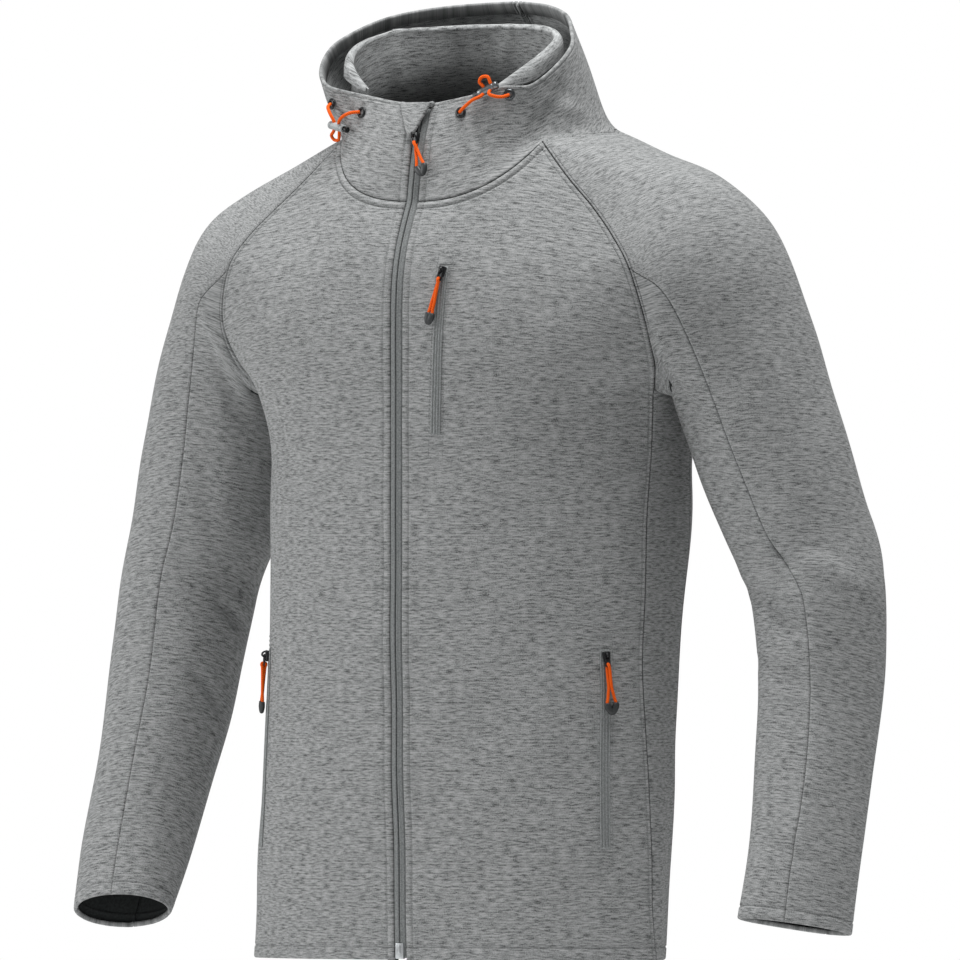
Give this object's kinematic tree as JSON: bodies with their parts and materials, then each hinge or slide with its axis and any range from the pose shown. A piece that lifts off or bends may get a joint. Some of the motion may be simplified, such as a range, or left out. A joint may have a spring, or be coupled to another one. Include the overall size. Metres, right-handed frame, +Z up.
{
  "type": "softshell jacket with hood, as worn",
  "caption": "Men's hooded softshell jacket in grey melange, zip closed, kept in its worn hollow form with no wearer.",
  "frame": {"origin": "base of the neck, in the middle of the neck opening, where the wearer holds the jacket up", "axes": "+X to the wearer's left, -Y to the front, +Z up"},
  "size_m": [0.8257, 0.2939, 0.8607],
  "materials": {
    "cloth": "knit-faced softshell, mid-grey melange, matte",
    "zip_tape": "woven polyester tape and moulded coil, tonal grey",
    "zip_box": "plated die-cast box, satin",
    "black_plastic": "moulded, charcoal",
    "lock_barrel": "moulded, light silver grey",
    "orange_cord": "braided cord, vivid orange"
  },
  "bodies": {
    "jacket": {"front_left": "cloth", "front_right": "cloth", "side_left": "cloth", "side_right": "cloth", "back": "cloth", "sleeve_upper_left": "cloth", "sleeve_under_left": "cloth", "sleeve_upper_right": "cloth", "sleeve_under_right": "cloth", "hood_left": "cloth", "hood_right": "cloth", "hood_inner": "cloth", "chin_guard": "cloth", "zip_tape_left": "zip_tape", "zip_tape_right": "zip_tape", "zip_coil": "zip_tape", "chest_zip": "zip_tape", "hand_zip_left": "zip_tape", "hand_zip_right": "zip_tape", "zip_box": "zip_box", "chest_slider": "black_plastic", "hand_left_slider": "black_plastic", "hand_right_slider": "black_plastic", "front_slider": "black_plastic", "eyelet_right_outer": "black_plastic", "eyelet_right_inner": "black_plastic", "eyelet_left_inner": "black_plastic", "eyelet_left_outer": "black_plastic", "plunger_right": "black_plastic", "plunger_left": "black_plastic", "lock_right": "lock_barrel", "lock_left": "lock_barrel", "drawcord_right_outer": "orange_cord", "drawcord_right_loop": "orange_cord", "drawcord_right_inner": "orange_cord", "drawcord_left_inner": "orange_cord", "drawcord_left_loop": "orange_cord", "drawcord_left_outer": "orange_cord"},
    "chest_pull": {"chest_tab": "black_plastic", "chest_loop": "orange_cord", "chest_tip": "black_plastic"},
    "hand_left_pull": {"hand_left_tab": "black_plastic", "hand_left_loop": "orange_cord", "hand_left_tip": "black_plastic"},
    "hand_right_pull": {"hand_right_tab": "black_plastic", "hand_right_loop": "orange_cord", "hand_right_tip": "black_plastic"},
    "front_pull": {"front_tab": "black_plastic", "front_loop": "orange_cord", "front_tip": "black_plastic"}
  },
  "joints": [
    {"name": "chest_pull_hinge", "type": "hinge", "parent": "jacket", "child": "chest_pull", "pos_m": [0.04847, -0.14625, -0.09565], "axis": [-0.972, -0.0638, 0.226], "range_deg": [0, 70]},
    {"name": "hand_left_pull_hinge", "type": "hinge", "parent": "jacket", "child": "hand_left_pull", "pos_m": [0.18366, -0.08138, -0.44087], "axis": [-0.6438, -0.76, -0.0884], "range_deg": [0, 70]},
    {"name": "hand_right_pull_hinge", "type": "hinge", "parent": "jacket", "child": "hand_right_pull", "pos_m": [-0.18366, -0.08138, -0.44087], "axis": [-0.6438, 0.76, 0.0884], "range_deg": [0, 70]},
    {"name": "front_pull_hinge", "type": "hinge", "parent": "jacket", "child": "front_pull", "pos_m": [-0.003, -0.11348, 0.02613], "axis": [-0.9186, -0.0798, -0.3869], "range_deg": [0, 70]}
  ]
}
